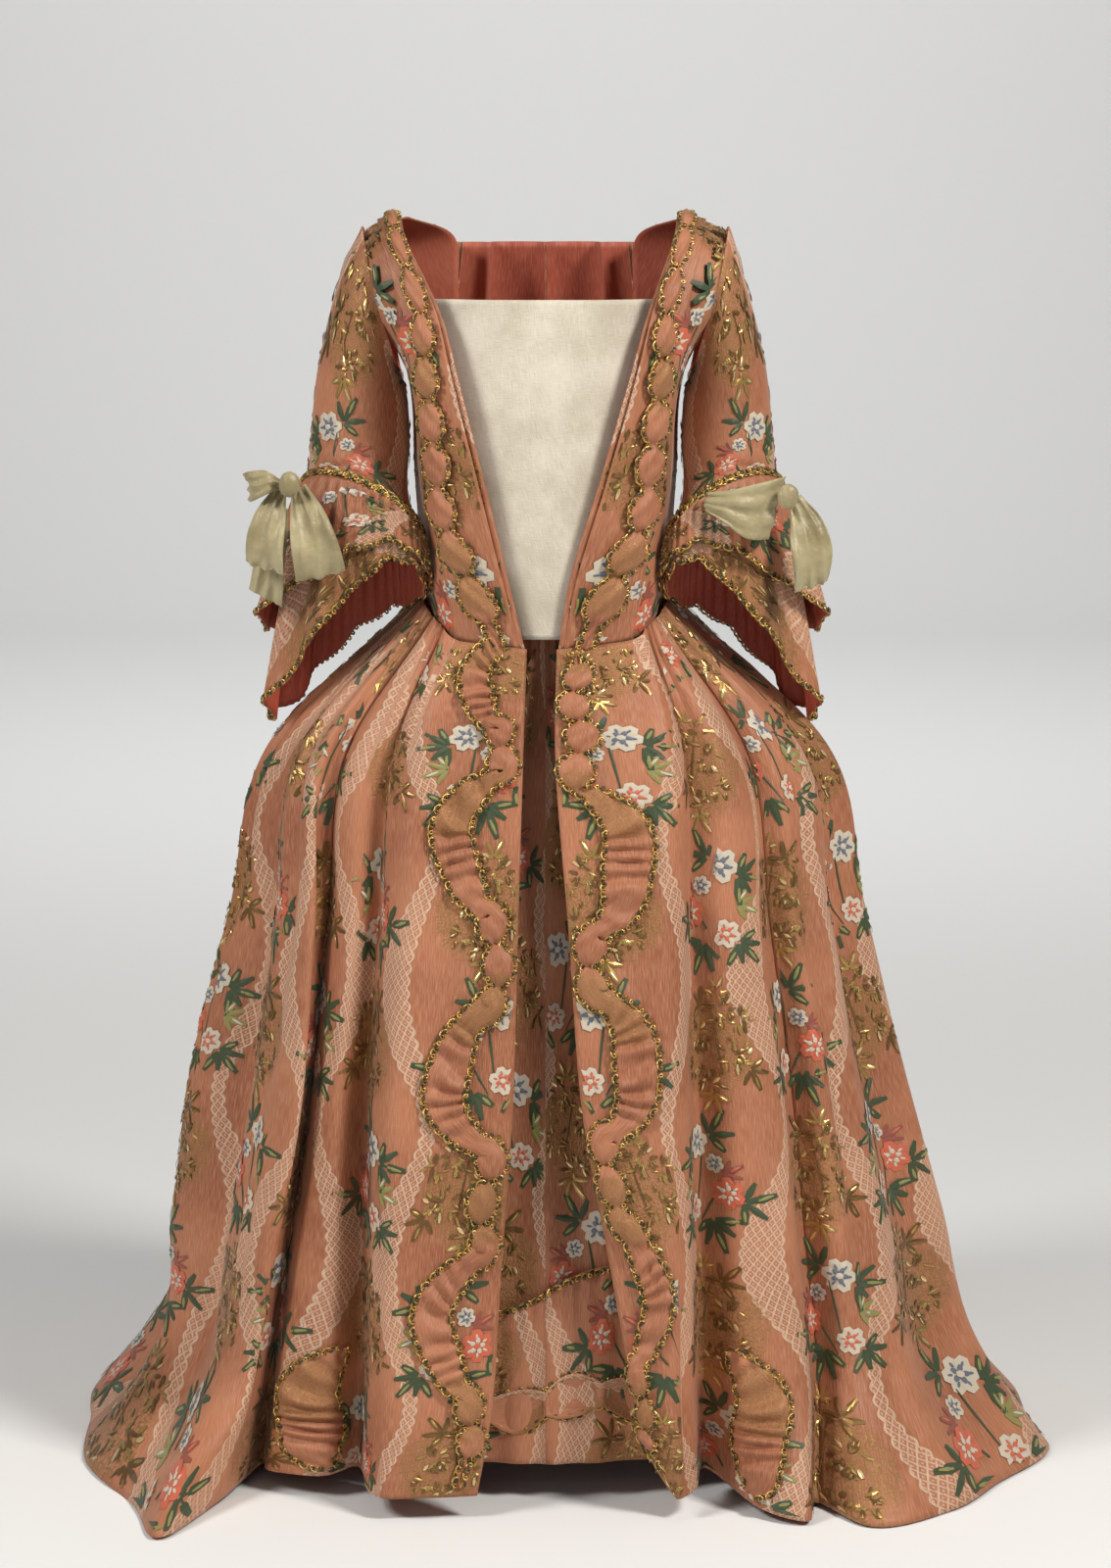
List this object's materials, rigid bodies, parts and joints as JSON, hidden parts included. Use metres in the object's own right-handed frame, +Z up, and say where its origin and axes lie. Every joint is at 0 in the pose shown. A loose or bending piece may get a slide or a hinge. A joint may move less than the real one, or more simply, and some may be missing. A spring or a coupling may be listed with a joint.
{
  "type": "robe a la francaise with matching petticoat",
  "caption": "Open sack-back gown and petticoat in brocaded silk, with box-pleated back, train, winding trim, elbow flounces and silk bows.",
  "frame": {"origin": "midway between the tops of the shoulder seams, where the wearer holds the gown up", "axes": "+Z up; -Y is the front; +X is the wearer's left"},
  "size_m": [1.098, 1.074, 1.385],
  "materials": {
    "silk": "figured silk, soft sheen, woven flowers, lattice and metal thread",
    "flounce_silk": "the gown's silk, its coral reverse showing inside the ruffles",
    "linen": "plain slubby unbleached linen",
    "ribbon": "plain olive silk taffeta, creased",
    "trim": "puffed and gathered self silk edged with looped metal braid",
    "braid": "looped gold metal braid"
  },
  "bodies": {
    "root": {"bodice_back_left": "silk", "bodice_back_right": "silk", "bodice_front_left": "silk", "bodice_front_right": "silk", "bodice_trim_left": "trim", "bodice_trim_right": "trim", "bow_knot_left": "ribbon", "bow_knot_right": "ribbon", "bow_loop_inner_left": "ribbon", "bow_loop_inner_right": "ribbon", "bow_loop_outer_left": "ribbon", "bow_loop_outer_right": "ribbon", "bow_loop_upper_right": "ribbon", "bow_tail_right": "ribbon", "cuff_trim_left": "braid", "cuff_trim_right": "braid", "flounce_lower_left": "flounce_silk", "flounce_lower_right": "flounce_silk", "flounce_upper_left": "flounce_silk", "flounce_upper_right": "flounce_silk", "hem_trim_left": "trim", "hem_trim_right": "trim", "petticoat": "silk", "petticoat_band": "silk", "petticoat_flounce": "silk", "petticoat_trim": "trim", "robing_left": "silk", "robing_right": "silk", "sack_back_left": "silk", "sack_back_right": "silk", "skirt_front_left": "silk", "skirt_front_right": "silk", "skirt_side_left": "silk", "skirt_side_right": "silk", "skirt_trim_left": "trim", "skirt_trim_right": "trim", "sleeve_left": "silk", "sleeve_right": "silk", "stomacher": "linen"}
  },
  "joints": []
}
